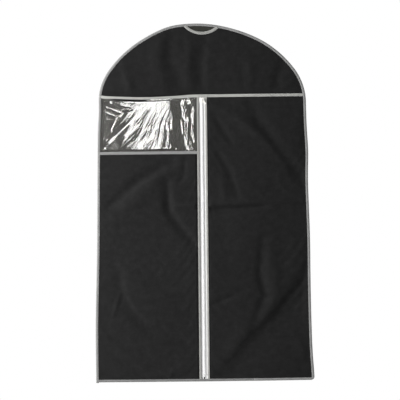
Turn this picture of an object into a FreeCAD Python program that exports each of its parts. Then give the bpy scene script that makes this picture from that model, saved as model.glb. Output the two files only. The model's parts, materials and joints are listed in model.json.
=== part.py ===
import FreeCAD, Part
import math
import os

# Garment bag that hangs from a clothes hanger, modelled empty and zipped up.
# Seen from the front, +X goes to the right. +Y goes to the back and +Z is up.
# The origin is the middle of the top edge, above the neck opening.
# Millimetres. Heights are given as distances below the top edge, called depth.

# Outline of the bag: a crown arc, two shoulder arcs and straight sides that flare to the hem
BAG_HEIGHT = 1000.0
SHOULDER_HALF_WIDTH = 290.0
HEM_HALF_WIDTH = 302.0
CROWN_RADIUS = 322.0
SHOULDER_RADIUS = 160.0
CORNER_RADIUS = 10.0

# Layers, from the front (-Y) to the back (+Y), about the side seam at y = 0
FABRIC = 0.6
SEAM_GAP = 0.4
TAPE = 0.6
BACK_FULLNESS = 10.0
BACK_SLOPE = 24.0

# Binding tapes
EDGE_TAPE_WIDTH = 7.4
SEAM_TAPE_WIDTH = 7.8
WINDOW_TAPE_WIDTH = 8.0
TAPE_JOIN_X = 137.0

# Seams across the front, as depths
YOKE_SEAM = 203.85
WINDOW_SEAM = 357.5

# Neck opening: a scoop cut out of the front yoke
SCOOP_DEPTH = 31.0
SCOOP_RADIUS = 69.0
SCOOP_TAPE_WIDTH = 8.2

# The two front flaps stay this far inside the outline, above the hem and clear of each other
FLAP_INSET = 9.2
FLAP_CLEARANCE = 0.5
FLAP_BOTTOM = 990.5

# Zip
ZIP_HALF_WIDTH = 8.3
ZIP_TAPE_INNER = 1.7
ZIP_TAPE_OUTER = 13.0
ZIP_TAPE_THICKNESS = 0.5
ZIP_TAPE_BOTTOM = 988.5
ZIP_BINDING_WIDTH = 6.0
COIL_INNER = 0.2
COIL_OUTER = 3.0
COIL_THICKNESS = 2.4
COIL_BOTTOM = 976.0
FILM = 0.3

# Stops at the ends of the zip. The top ones are clips round the tape's edge, the bottom one a rivet
STOP_BELOW_SLIDER_TOP = 5.0
STOP_LENGTH = 3.0
STOP_INNER = 0.5
STOP_OUTER = 3.2
STOP_FRONT = -1.7
STOP_BACK = 1.15
BOTTOM_STOP_LENGTH = 4.0
RIVET_NECK_HALF = 1.2
RIVET_BACK_HALF = 2.6
RIVET_BACK_REACH = 1.0

# Slider and pull
SLIDER_TOP = 209.0
SLIDER_LENGTH = 13.0
SLIDER_GAP = 0.4
SLIDER_PLATE = 1.7
SLIDER_BACK_PLATE = 1.4
SLIDER_BACK_GAP = 0.7
SLIDER_NOSE_HALF = 4.0
SLIDER_HALF_WIDTH = 5.6
SLIDER_TAIL_HALF = 4.8
SLIDER_NOSE = 2.4
SLIDER_WAIST = 6.0
SLIDER_CORNER = 1.0
SLIDER_RIM = 0.5
CHANNEL_MOUTH_HALF = 4.4
CHANNEL_HALF = 3.6
CHANNEL_MOUTH = 5.0
WEDGE_OUTLINE = ((0.5, 0.5), (1.2, 2.2), (0.3, 4.4))
WEDGE_OVERLAP = 0.2
BAIL_CENTRE = 6.8
BAIL_HALF_SPAN = 2.15
BAIL_WIRE = 1.0
BAIL_WIDTH = 1.2
BAIL_ROOM = 2.4
BAIL_CORNER = 1.3
PULL_LENGTH = 15.5
PULL_THICKNESS = 1.0
PULL_HEAD_WIDTH = 7.4
PULL_END_WIDTH = 5.2
PULL_BAR = 1.2
PULL_EYE_LENGTH = 3.4
PULL_EYE_WIDTH = 6.0
PULL_SHOULDER = 0.6
PULL_NECK = 5.0
PULL_CORNER = 0.6
GRIP_HOLE_RADIUS = 0.9
PULL_TILT = -45.0

# Levels that follow from the sizes above
SHOULDER_X = SHOULDER_HALF_WIDTH - SHOULDER_RADIUS
CROWN_Z = -CROWN_RADIUS
SHOULDER_Z = CROWN_Z + math.sqrt((CROWN_RADIUS - SHOULDER_RADIUS) ** 2 - SHOULDER_X ** 2)
CROWN_ANGLE = math.asin(SHOULDER_X / (CROWN_RADIUS - SHOULDER_RADIUS))
HEM_REACH_X = HEM_HALF_WIDTH - SHOULDER_X
HEM_REACH_Z = -BAG_HEIGHT - SHOULDER_Z
FLARE = math.atan2(HEM_REACH_Z, HEM_REACH_X) + math.acos(
    SHOULDER_RADIUS / math.hypot(HEM_REACH_X, HEM_REACH_Z)
)
FRONT_INSIDE = -SEAM_GAP / 2
FRONT_OUTSIDE = FRONT_INSIDE - FABRIC
TAPE_FRONT = FRONT_OUTSIDE - TAPE
BACK_INSIDE = SEAM_GAP / 2
BACK_OUTSIDE = BACK_INSIDE + FABRIC
TAPE_BACK = BACK_OUTSIDE + TAPE
LINING = 0.3
BEYOND = 1.0
PAST_SIDES = HEM_HALF_WIDTH + 98.0
PAST_HEM = BAG_HEIGHT + 100.0
PAST_LAYERS = 5.0
YOKE_TAPE_BOTTOM = YOKE_SEAM + SEAM_TAPE_WIDTH / 2
FLAP_TOP = YOKE_TAPE_BOTTOM + FLAP_CLEARANCE
ZIP_TAPE_BACK = LINING + ZIP_TAPE_THICKNESS
COIL_FRONT = LINING - COIL_THICKNESS
SLIDER_FACE = COIL_FRONT - SLIDER_GAP - SLIDER_PLATE
PULL_Y = SLIDER_FACE - BAIL_ROOM / 2
PULL_PIVOT = FreeCAD.Vector(0.0, PULL_Y, -SLIDER_TOP - BAIL_CENTRE)


def vec(x, y, z):
    return FreeCAD.Vector(x, y, z)


def hem_corner(inset):
    """Right-hand lower corner of the outline moved inwards, as x and z."""
    touch_x = SHOULDER_X + (SHOULDER_RADIUS - inset) * math.cos(FLARE)
    touch_z = SHOULDER_Z + (SHOULDER_RADIUS - inset) * math.sin(FLARE)
    hem_z = inset - BAG_HEIGHT
    drop = (touch_z - hem_z) / math.cos(FLARE)
    return touch_x + drop * math.sin(FLARE), hem_z


def side_x(depth, inset):
    """Half-width of the straight side at a depth, moved inwards."""
    corner_x, corner_z = hem_corner(inset)
    return corner_x - (-depth - corner_z) * math.tan(FLARE)


def line(start, end):
    return Part.LineSegment(start, end).toShape()


def arc(start, middle, end):
    return Part.Arc(start, middle, end).toShape()


def outline(inset, y, corner_radius=CORNER_RADIUS):
    """Outline of the bag moved inwards, drawn in the plane at y. Its right corner is rounded."""
    crown = CROWN_RADIUS - inset
    shoulder = SHOULDER_RADIUS - inset
    corner = corner_radius - inset

    def on_crown(angle):
        return vec(crown * math.sin(angle), y, CROWN_Z + crown * math.cos(angle))

    def on_shoulder(side, angle):
        x = SHOULDER_X + shoulder * math.cos(angle)
        return vec(side * x, y, SHOULDER_Z + shoulder * math.sin(angle))

    shoulder_start = math.pi / 2 - CROWN_ANGLE
    shoulder_middle = (shoulder_start + FLARE) / 2
    hem_x, hem_z = hem_corner(inset)
    left_hem = vec(-hem_x, y, hem_z)
    right_hem = vec(hem_x, y, hem_z)
    edges = [
        arc(on_crown(-CROWN_ANGLE), on_crown(0.0), on_crown(CROWN_ANGLE)),
        arc(on_shoulder(1, shoulder_start), on_shoulder(1, shoulder_middle), on_shoulder(1, FLARE)),
    ]
    if corner > 0:
        centre_x, centre_z = hem_corner(inset + corner)
        middle = (FLARE - math.pi / 2) / 2
        side_end = vec(centre_x + corner * math.cos(FLARE), y, centre_z + corner * math.sin(FLARE))
        bend = vec(centre_x + corner * math.cos(middle), y, centre_z + corner * math.sin(middle))
        hem_start = vec(centre_x, y, hem_z)
        edges.append(line(on_shoulder(1, FLARE), side_end))
        edges.append(arc(side_end, bend, hem_start))
        edges.append(line(hem_start, left_hem))
    else:
        edges.append(line(on_shoulder(1, FLARE), right_hem))
        edges.append(line(right_hem, left_hem))
    edges.append(line(left_hem, on_shoulder(-1, FLARE)))
    edges.append(
        arc(on_shoulder(-1, FLARE), on_shoulder(-1, shoulder_middle), on_shoulder(-1, shoulder_start))
    )
    return Part.Wire(edges)


def plate(inset, y_front, y_back):
    """The outline, moved inwards, as a plate between two levels."""
    return Part.Face(outline(inset, y_front)).extrude(vec(0, y_back - y_front, 0))


def block(x_left, x_right, y_front, y_back, depth_top, depth_bottom):
    size = (x_right - x_left, y_back - y_front, depth_bottom - depth_top)
    return Part.makeBox(*size, vec(x_left, y_front, -depth_bottom))


def polygon_prism(points, y_front, y_back):
    """A prism along Y from (x, depth) points."""
    corners = [vec(x, y_front, -depth) for x, depth in points]
    wire = Part.makePolygon(corners + corners[:1])
    return Part.Face(wire).extrude(vec(0, y_back - y_front, 0))


def mirrored(points):
    """Adds the left half of an outline given as its right half, from the top down."""
    return points + [(-x, depth) for x, depth in reversed(points)]


def mirror_x(shape):
    return shape.mirror(vec(0, 0, 0), vec(1, 0, 0))


def scoop_disc(radius, y_front, y_back):
    centre_z = SCOOP_RADIUS - SCOOP_DEPTH
    return Part.makeCylinder(radius, y_back - y_front, vec(0, y_front, centre_z), vec(0, 1, 0))


def back_panel():
    """One sheet, flat along the seam and eased out to the back, so that a garment fits inside."""
    rim = outline(EDGE_TAPE_WIDTH, BACK_INSIDE, 0.0)
    floor = outline(EDGE_TAPE_WIDTH + BACK_SLOPE, BACK_FULLNESS, 0.0)
    hollow = Part.makeLoft([rim, floor], True, True)
    swell = hollow.translated(vec(0, FABRIC, 0))
    return plate(TAPE, BACK_INSIDE, BACK_OUTSIDE).fuse(swell).cut(hollow).removeSplitter()


def shoulder_yoke():
    sheet = plate(TAPE, FRONT_OUTSIDE, FRONT_INSIDE)
    below = block(
        -PAST_SIDES, PAST_SIDES, -PAST_LAYERS, PAST_LAYERS, YOKE_TAPE_BOTTOM - TAPE, PAST_HEM
    )
    scoop = scoop_disc(
        SCOOP_RADIUS - SCOOP_TAPE_WIDTH + TAPE, FRONT_OUTSIDE - BEYOND, FRONT_INSIDE + BEYOND
    )
    return sheet.cut(below).cut(scoop)


def edge_tape():
    """The tape folded over the edge all round: two legs joined outside the fabric edge."""
    whole = plate(0, TAPE_FRONT, TAPE_BACK)
    fabric_room = plate(TAPE, FRONT_OUTSIDE, BACK_OUTSIDE)
    inside = plate(EDGE_TAPE_WIDTH, TAPE_FRONT - BEYOND, TAPE_BACK + BEYOND)
    return whole.cut(fabric_room).cut(inside)


def hem_cutter():
    left_end = EDGE_TAPE_WIDTH - HEM_HALF_WIDTH
    top = BAG_HEIGHT - EDGE_TAPE_WIDTH - BEYOND
    return block(left_end, TAPE_JOIN_X, -PAST_LAYERS, PAST_LAYERS, top, BAG_HEIGHT + BEYOND)


def perimeter_binding():
    return edge_tape().cut(hem_cutter())


def hem_binding():
    return edge_tape().common(hem_cutter())


def neck_binding():
    outer = SCOOP_RADIUS
    inner = SCOOP_RADIUS - SCOOP_TAPE_WIDTH
    ring = scoop_disc(outer, TAPE_FRONT, LINING).cut(scoop_disc(inner, TAPE_FRONT, LINING))
    fabric_room = scoop_disc(outer, FRONT_OUTSIDE, FRONT_INSIDE).cut(
        scoop_disc(inner + TAPE, FRONT_OUTSIDE, FRONT_INSIDE)
    )
    return ring.cut(fabric_room).common(plate(EDGE_TAPE_WIDTH, TAPE_FRONT, LINING))


def yoke_seam_binding():
    top = YOKE_TAPE_BOTTOM - SEAM_TAPE_WIDTH
    whole = block(-PAST_SIDES, PAST_SIDES, TAPE_FRONT, LINING, top, YOKE_TAPE_BOTTOM)
    fabric_room = block(
        -PAST_SIDES, PAST_SIDES, FRONT_OUTSIDE, FRONT_INSIDE, top, YOKE_TAPE_BOTTOM - TAPE
    )
    return whole.cut(fabric_room).common(plate(EDGE_TAPE_WIDTH, TAPE_FRONT, LINING))


def flap_sheet(x_inner, y_front, y_back, depth_top, depth_bottom):
    """A piece of the right flap that reaches from x_inner to the side seam."""
    points = [
        (x_inner, depth_top),
        (side_x(depth_top, FLAP_INSET), depth_top),
        (side_x(depth_bottom, FLAP_INSET), depth_bottom),
        (x_inner, depth_bottom),
    ]
    return polygon_prism(points, y_front, y_back)


def front_panel(depth_top):
    return flap_sheet(ZIP_HALF_WIDTH + TAPE, FRONT_OUTSIDE, FRONT_INSIDE, depth_top, FLAP_BOTTOM)


def window_film():
    front = FRONT_OUTSIDE + (FABRIC - FILM) / 2
    return flap_sheet(ZIP_HALF_WIDTH + TAPE, front, front + FILM, FLAP_TOP, WINDOW_SEAM)


def window_hem_binding():
    x_inner = ZIP_HALF_WIDTH + ZIP_BINDING_WIDTH
    bottom = WINDOW_SEAM + WINDOW_TAPE_WIDTH
    whole = flap_sheet(x_inner, TAPE_FRONT, LINING, WINDOW_SEAM, bottom)
    return whole.cut(block(0, PAST_SIDES, FRONT_OUTSIDE, FRONT_INSIDE, WINDOW_SEAM + TAPE, bottom))


def zip_binding():
    """The tape folded over the flap's zip edge, with the zip tape sewn behind it."""
    outer = ZIP_HALF_WIDTH + ZIP_BINDING_WIDTH
    whole = block(ZIP_HALF_WIDTH, outer, TAPE_FRONT, LINING, FLAP_TOP, FLAP_BOTTOM)
    inner = ZIP_HALF_WIDTH + TAPE
    fabric_room = block(inner, outer, FRONT_OUTSIDE, FRONT_INSIDE, FLAP_TOP, FLAP_BOTTOM)
    return whole.cut(fabric_room)


def zip_tape():
    return block(ZIP_TAPE_INNER, ZIP_TAPE_OUTER, LINING, ZIP_TAPE_BACK, FLAP_TOP, ZIP_TAPE_BOTTOM)


def top_stop_depth():
    return SLIDER_TOP + STOP_BELOW_SLIDER_TOP


def zip_coil():
    top = top_stop_depth() + STOP_LENGTH + SLIDER_GAP
    return block(COIL_INNER, COIL_OUTER, COIL_FRONT, LINING, top, COIL_BOTTOM)


def top_stop():
    """A small clip closed round the inner edge of one tape, above the coil."""
    top = top_stop_depth()
    clip = block(STOP_INNER, STOP_OUTER, STOP_FRONT, STOP_BACK, top, top + STOP_LENGTH)
    return clip.cut(zip_tape())


def bottom_stop():
    """A rivet-like stop between the two tapes, just below the end of the coils."""
    top = COIL_BOTTOM + FLAP_CLEARANCE
    bottom = top + BOTTOM_STOP_LENGTH
    front_end = LINING - SLIDER_GAP
    back_start = ZIP_TAPE_BACK + SLIDER_GAP
    back_end = ZIP_TAPE_BACK + RIVET_BACK_REACH
    front = block(-COIL_OUTER, COIL_OUTER, COIL_FRONT, front_end, top, bottom)
    neck = block(-RIVET_NECK_HALF, RIVET_NECK_HALF, front_end, back_start, top, bottom)
    back = block(-RIVET_BACK_HALF, RIVET_BACK_HALF, back_start, back_end, top, bottom)
    return front.fuse(neck).fuse(back).removeSplitter()


def edges_along_y(shape):
    """Straight edges that run from front to back."""
    found = []
    for edge in shape.Edges:
        first, last = edge.Vertexes[0].Point, edge.Vertexes[-1].Point
        if abs(first.x - last.x) < 1e-6 and abs(first.z - last.z) < 1e-6:
            found.append(edge)
    return found


def edges_at_y(shape, level):
    return [e for e in shape.Edges if all(abs(v.Point.y - level) < 1e-6 for v in e.Vertexes)]


def slider_outline():
    bottom = SLIDER_TOP + SLIDER_LENGTH
    right = [
        (SLIDER_NOSE_HALF, SLIDER_TOP),
        (SLIDER_HALF_WIDTH, SLIDER_TOP + SLIDER_NOSE),
        (SLIDER_HALF_WIDTH, SLIDER_TOP + SLIDER_WAIST),
        (SLIDER_TAIL_HALF, bottom),
    ]
    return mirrored(right)


def slider_channel(y_front, y_back):
    """Room for the coils, wider at the top, where the two sides part."""
    right = [
        (CHANNEL_MOUTH_HALF, SLIDER_TOP - BEYOND),
        (CHANNEL_HALF, SLIDER_TOP + CHANNEL_MOUTH),
        (CHANNEL_HALF, SLIDER_TOP + SLIDER_LENGTH + BEYOND),
    ]
    return polygon_prism(mirrored(right), y_front, y_back)


def slider_plate(y_front, y_back, face):
    """One plate of the slider, with rounded corners and a rounded rim on its outer face."""
    body = polygon_prism(slider_outline(), y_front, y_back)
    body = body.makeFillet(SLIDER_CORNER, edges_along_y(body))
    return body.makeFillet(SLIDER_RIM, edges_at_y(body, face))


def slider_body():
    """A front plate with side flanges and a back plate, joined by the wedge that parts the coils."""
    channel_front = COIL_FRONT - SLIDER_GAP
    flange_end = LINING - SLIDER_GAP
    back_inside = ZIP_TAPE_BACK + SLIDER_BACK_GAP
    back_flange = ZIP_TAPE_BACK + SLIDER_GAP
    back_face = back_inside + SLIDER_BACK_PLATE
    front = slider_plate(SLIDER_FACE, flange_end, SLIDER_FACE)
    front = front.cut(slider_channel(channel_front, flange_end + BEYOND))
    back = slider_plate(back_flange, back_face, back_face)
    back = back.cut(slider_channel(back_flange - BEYOND, back_inside))
    wedge = [(half, SLIDER_TOP + below) for half, below in WEDGE_OUTLINE]
    post = polygon_prism(mirrored(wedge), channel_front - WEDGE_OVERLAP, back_inside + WEDGE_OVERLAP)
    return front.fuse(back).fuse(post).removeSplitter()


def slider_bail():
    """The arch on the slider's face that the pull hangs from."""
    centre = SLIDER_TOP + BAIL_CENTRE
    outer_half = BAIL_HALF_SPAN + BAIL_WIRE
    top_y = SLIDER_FACE - BAIL_ROOM - BAIL_WIRE
    half = BAIL_WIDTH / 2
    arch = block(-half, half, top_y, SLIDER_FACE, centre - outer_half, centre + outer_half)
    rounded = [
        e for e in arch.Edges
        if abs(e.Length - BAIL_WIDTH) < 1e-6 and abs(e.Vertexes[0].Point.y - top_y) < 1e-6
    ]
    arch = arch.makeFillet(BAIL_CORNER, rounded)
    room_top, room_bottom = centre - BAIL_HALF_SPAN, centre + BAIL_HALF_SPAN
    return arch.cut(block(-half, half, SLIDER_FACE - BAIL_ROOM, SLIDER_FACE, room_top, room_bottom))


def pull_tab():
    """A stamped tab. Its end bar lies under the bail, and the bail passes through its eye."""
    pivot = SLIDER_TOP + BAIL_CENTRE
    front = PULL_Y - PULL_THICKNESS / 2
    back = PULL_Y + PULL_THICKNESS / 2
    eye_top = pivot + PULL_BAR / 2
    eye_bottom = eye_top + PULL_EYE_LENGTH
    end_radius = PULL_END_WIDTH / 2
    end_centre = pivot + PULL_LENGTH - end_radius
    head = PULL_HEAD_WIDTH / 2
    right = [
        (head, pivot - PULL_BAR / 2),
        (head, eye_bottom + PULL_SHOULDER),
        (end_radius, eye_bottom + PULL_NECK),
        (end_radius, end_centre),
    ]
    tab = polygon_prism(mirrored(right), front, back)
    corner = [e for e in edges_along_y(tab) if abs(abs(e.Vertexes[0].Point.x) - head) < 1e-6]
    tab = tab.makeFillet(PULL_CORNER, corner)
    along_y = vec(0, 1, 0)
    tab = tab.fuse(Part.makeCylinder(end_radius, back - front, vec(0, front, -end_centre), along_y))
    eye_half = PULL_EYE_WIDTH / 2
    eye = block(-eye_half, eye_half, front - BEYOND, back + BEYOND, eye_top, eye_bottom)
    hole_start = vec(0, front - BEYOND, -end_centre)
    grip_hole = Part.makeCylinder(GRIP_HOLE_RADIUS, back - front + 2 * BEYOND, hole_start, along_y)
    tab = tab.cut(eye).cut(grip_hole).removeSplitter()
    tab.rotate(PULL_PIVOT, vec(0, 1, 0), PULL_TILT)
    return tab


def make_parts():
    yoke_side = {
        "back_panel": back_panel(),
        "shoulder_yoke": shoulder_yoke(),
        "perimeter_binding": perimeter_binding(),
        "hem_binding": hem_binding(),
        "neck_binding": neck_binding(),
        "yoke_seam_binding": yoke_seam_binding(),
        "bottom_stop": bottom_stop(),
    }
    left_side = {
        "window_film": mirror_x(window_film()),
        "window_hem_binding": mirror_x(window_hem_binding()),
        "left_front_panel": mirror_x(front_panel(WINDOW_SEAM + TAPE)),
        "zip_binding_left": mirror_x(zip_binding()),
        "zip_tape_left": mirror_x(zip_tape()),
        "zip_coil_left": mirror_x(zip_coil()),
        "top_stop_left": mirror_x(top_stop()),
    }
    right_side = {
        "right_front_panel": front_panel(FLAP_TOP),
        "zip_binding_right": zip_binding(),
        "zip_tape_right": zip_tape(),
        "zip_coil_right": zip_coil(),
        "top_stop_right": top_stop(),
    }
    slider = {
        "slider_body": slider_body(),
        "slider_bail": slider_bail(),
        "pull_tab": pull_tab(),
    }
    return {**yoke_side, **left_side, **right_side, **slider}


os.makedirs("parts", exist_ok=True)
for name, shape in make_parts().items():
    shape.exportStep(os.path.join("parts", name + ".step"))
    box = shape.BoundBox
    print(
        f"{name:20s} solids {len(shape.Solids)} valid {shape.isValid()} volume {shape.Volume:9.1f} mm3  "
        f"x {box.XMin:7.1f} {box.XMax:7.1f}  y {box.YMin:5.2f} {box.YMax:5.2f}  "
        f"z {box.ZMin:7.1f} {box.ZMax:7.1f}"
    )
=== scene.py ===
import json
import math

import bpy
import numpy as np
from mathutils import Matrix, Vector

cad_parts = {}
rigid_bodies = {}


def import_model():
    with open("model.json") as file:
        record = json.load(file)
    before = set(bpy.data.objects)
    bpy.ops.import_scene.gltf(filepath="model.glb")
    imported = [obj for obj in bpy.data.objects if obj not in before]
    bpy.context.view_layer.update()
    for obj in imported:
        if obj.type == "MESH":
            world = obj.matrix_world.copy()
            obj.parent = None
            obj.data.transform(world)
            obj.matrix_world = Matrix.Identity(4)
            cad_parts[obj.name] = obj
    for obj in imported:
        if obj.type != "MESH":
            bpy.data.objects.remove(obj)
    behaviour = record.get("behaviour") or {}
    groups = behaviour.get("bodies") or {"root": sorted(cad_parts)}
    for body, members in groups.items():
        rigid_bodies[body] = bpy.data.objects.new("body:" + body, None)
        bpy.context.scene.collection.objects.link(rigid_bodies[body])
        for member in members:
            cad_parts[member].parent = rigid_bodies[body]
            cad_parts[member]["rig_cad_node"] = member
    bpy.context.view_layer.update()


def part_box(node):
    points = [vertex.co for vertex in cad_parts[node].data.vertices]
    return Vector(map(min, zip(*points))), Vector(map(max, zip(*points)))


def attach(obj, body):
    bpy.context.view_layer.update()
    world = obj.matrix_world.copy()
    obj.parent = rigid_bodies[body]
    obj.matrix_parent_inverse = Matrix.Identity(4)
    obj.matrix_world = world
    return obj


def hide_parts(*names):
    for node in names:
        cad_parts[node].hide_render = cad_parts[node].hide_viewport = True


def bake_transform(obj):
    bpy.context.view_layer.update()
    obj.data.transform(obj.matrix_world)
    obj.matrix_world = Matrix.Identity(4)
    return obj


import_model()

# A garment bag hanging zipped up. Metres, front towards -Y, origin at the middle of the top edge.
# Soft pieces are drawn flat, as a pattern in x and z with a lift in y, and place() maps the pattern
# to where the cloth really lies.
MM = 0.001

# ---------------------------------------------------------------- sizes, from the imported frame
HEM_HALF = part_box("perimeter_binding")[1].x
HEIGHT = -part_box("hem_binding")[0].z
TAPE_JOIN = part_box("hem_binding")[1].x
EDGE_TAPE = HEM_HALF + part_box("hem_binding")[0].x
SEAM_TOP, SEAM_BOTTOM = -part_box("yoke_seam_binding")[1].z, -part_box("yoke_seam_binding")[0].z
WINDOW_END = -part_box("window_film")[0].z
WINDOW_TAPE_END = -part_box("window_hem_binding")[0].z
BINDING_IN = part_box("zip_binding_right")[0].x
BINDING_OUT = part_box("zip_binding_right")[1].x
FLAP_TOP = -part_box("zip_binding_right")[1].z
FLAP_END = -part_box("zip_binding_right")[0].z
ZIP_END = -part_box("zip_tape_right")[0].z
ZIP_IN, ZIP_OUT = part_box("zip_tape_right")[0].x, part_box("zip_tape_right")[1].x
ZIP_FRONT, ZIP_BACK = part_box("zip_tape_right")[0].y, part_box("zip_tape_right")[1].y
COIL_TOP = -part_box("zip_coil_right")[1].z
LEG_FRONT, LEG_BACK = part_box("perimeter_binding")[0].y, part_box("perimeter_binding")[1].y
SEAM_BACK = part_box("yoke_seam_binding")[1].y

CROWN_R = 0.322
SHOULDER_R = 0.160
CORNER_R = 0.010
TOP_HALF = 0.290
SHOULDER_X = TOP_HALF - SHOULDER_R
SHOULDER_Z = -CROWN_R + math.sqrt((CROWN_R - SHOULDER_R) ** 2 - SHOULDER_X**2)
CROWN_ANGLE = math.asin(SHOULDER_X / (CROWN_R - SHOULDER_R))
REACH_X, REACH_Z = HEM_HALF - SHOULDER_X, -HEIGHT - SHOULDER_Z
FLARE = math.atan2(REACH_Z, REACH_X) + math.acos(SHOULDER_R / math.hypot(REACH_X, REACH_Z))
SCOOP_R = 0.069
SCOOP_TAPE = 0.0082
SCOOP_DEPTH = 0.031
SCOOP_Z = SCOOP_R - SCOOP_DEPTH
RIM = 3.5 * MM
CLOTH = 0.5 * MM


# ---------------------------------------------------------------- small maths
def ease(low, high, value):
    t = np.clip((value - low) / (high - low), 0.0, 1.0)
    return t * t * (3.0 - 2.0 * t)


def bell(value, centre, width):
    return np.exp(-(((value - centre) / width) ** 2))


def hem_corner(inset):
    """Right-hand lower corner of the outline moved inwards."""
    touch_x = SHOULDER_X + (SHOULDER_R - inset) * math.cos(FLARE)
    touch_z = SHOULDER_Z + (SHOULDER_R - inset) * math.sin(FLARE)
    drop = (touch_z - (inset - HEIGHT)) / math.cos(FLARE)
    return touch_x + drop * math.sin(FLARE), inset - HEIGHT


def side_x(depth, inset):
    """Half-width of the straight side at a depth, moved inwards."""
    corner_x, corner_z = hem_corner(inset)
    return corner_x - (-depth - corner_z) * math.tan(FLARE)


# ---------------------------------------------------------------- how the flat pattern really lies
# Each wander is a row of humps: height in mm, centre and width.
CROWN_WANDER = ((3.0, -0.090, 0.045), (-5.2, 0.095, 0.100))
LEFT_WANDER = ((-2.6, -0.840, 0.150), (2.8, -0.238, 0.045))
RIGHT_WANDER = ((4.2, -1.010, 0.075), (1.6, -0.600, 0.110), (3.0, -0.360, 0.055))
SEAM_SAG = (6.4, -0.160, 0.110)
SEAM_LIFT = (3.0, -0.292, 0.016)
HEM_LIFT = 1.4 * MM


def humps(at, rows):
    return sum(height * bell(at, centre, width) for height, centre, width in rows)


def warp(x, z):
    """The hand-cut and hand-sewn outline wanders by a few millimetres from the plan."""
    dz = ease(-0.190, -0.010, z) * humps(x, CROWN_WANDER) * MM
    sag = humps(x, [SEAM_SAG]) * ease(0.010, 0.070, -x) - humps(x, [SEAM_LIFT])
    dz = dz - sag * MM * bell(z, -SEAM_BOTTOM, 0.050)
    side = np.clip(np.abs(x) / TOP_HALF, 0.0, 1.1) ** 2
    dx = side * np.where(x < 0, humps(z, LEFT_WANDER), humps(z, RIGHT_WANDER)) * MM
    dz = dz + HEM_LIFT * ease(0.0, TOP_HALF, x) * ease(-0.930, -1.0, z)
    return dx, dz


def wave(x, z):
    """Slow waves that front and back share. The middle stays flat, so that the zip runs straight."""
    zip_flat = (1.0 - ease(0.022, 0.120, np.abs(x))) * ease(-0.110, -0.195, z)
    window_flat = 0.85 * ease(0.010, -0.040, x) * ease(-0.175, -0.215, z) * ease(-0.400, -0.350, z)
    slow = 2.1 * np.sin(2 * math.pi * z / 0.370 + 0.9 + 1.1 * np.sin(x / 0.160))
    cross = 1.1 * np.sin(2 * math.pi * x / 0.330 + 2.1 + 0.8 * np.sin(z / 0.140))
    return (1.0 - zip_flat) * (1.0 - window_flat) * (slow + cross) * MM


def place(x, z, lift):
    x, z, lift = np.broadcast_arrays(np.asarray(x, float), np.asarray(z, float), np.asarray(lift, float))
    dx, dz = warp(x, z)
    return np.stack([x + dx, wave(x, z) + lift, z + dz], axis=-1)


def fold_field(x, z, folds):
    """Folds listed as points (x, depth), widths on either side and height towards the front, in mm."""
    total = np.zeros(np.broadcast(x, z).shape)
    for points, widths, height in folds:
        nearest = np.full(total.shape, 1e9)
        signed, along = np.zeros(total.shape), np.zeros(total.shape)
        pts = np.array(points, float) * [MM, -MM]
        runs = np.hypot(*(pts[1:] - pts[:-1]).T)
        start, length = 0.0, runs.sum()
        for a, b, run in zip(pts[:-1], pts[1:], runs):
            d = (b - a) / run
            t = np.clip(((x - a[0]) * d[0] + (z - a[1]) * d[1]) / run, 0.0, 1.0)
            gap_x, gap_z = x - a[0] - t * run * d[0], z - a[1] - t * run * d[1]
            gap = np.hypot(gap_x, gap_z)
            nearer = gap < nearest
            nearest = np.where(nearer, gap, nearest)
            signed = np.where(nearer, np.sign(gap_x * d[1] - gap_z * d[0]), signed)
            along = np.where(nearer, (start + t * run) / length, along)
            start += run
        width = np.where(signed > 0, widths[1], widths[0]) * MM
        taper = np.sin(math.pi * np.clip(0.12 + 0.76 * along, 0.0, 1.0)) ** 0.7
        total += height * MM * taper * np.exp(-((nearest / width) ** 2))
    return total


def value_noise(u, v, seed):
    """Smooth noise from 0 to 1 with one random value for each whole step of u and v."""
    table = np.random.default_rng(seed).random((64, 64))
    cell_u, cell_v = np.floor(u).astype(int), np.floor(v).astype(int)
    du, dv = u - cell_u, v - cell_v
    du, dv = du * du * (3 - 2 * du), dv * dv * (3 - 2 * dv)
    a, b = table[cell_u % 64, cell_v % 64], table[(cell_u + 1) % 64, cell_v % 64]
    c, d = table[cell_u % 64, (cell_v + 1) % 64], table[(cell_u + 1) % 64, (cell_v + 1) % 64]
    return (a * (1 - du) + b * du) * (1 - dv) + (c * (1 - du) + d * du) * dv


def streaks(x, z, turn, pitch, stretch, seed):
    """Ridged creases that run along one direction, turn radians from straight down."""
    across = x * math.cos(turn) + z * math.sin(turn)
    along = -x * math.sin(turn) + z * math.cos(turn)
    bent = across + 0.35 * pitch * np.sin(along / (stretch * pitch) * 2.1 + seed)
    return 1.0 - np.abs(2.0 * value_noise(bent / pitch + 31.7, along / (pitch * stretch) + 17.3, seed) - 1.0)


def crinkle(x, z, seed):
    """Faint creases left from packing, in every direction."""
    first = streaks(x, z, 0.75, 0.034, 1.7, seed) - 0.5
    second = streaks(x, z, -0.85, 0.022, 1.6, seed + 1) - 0.5
    return (0.75 * first + 0.40 * second) * MM


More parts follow.
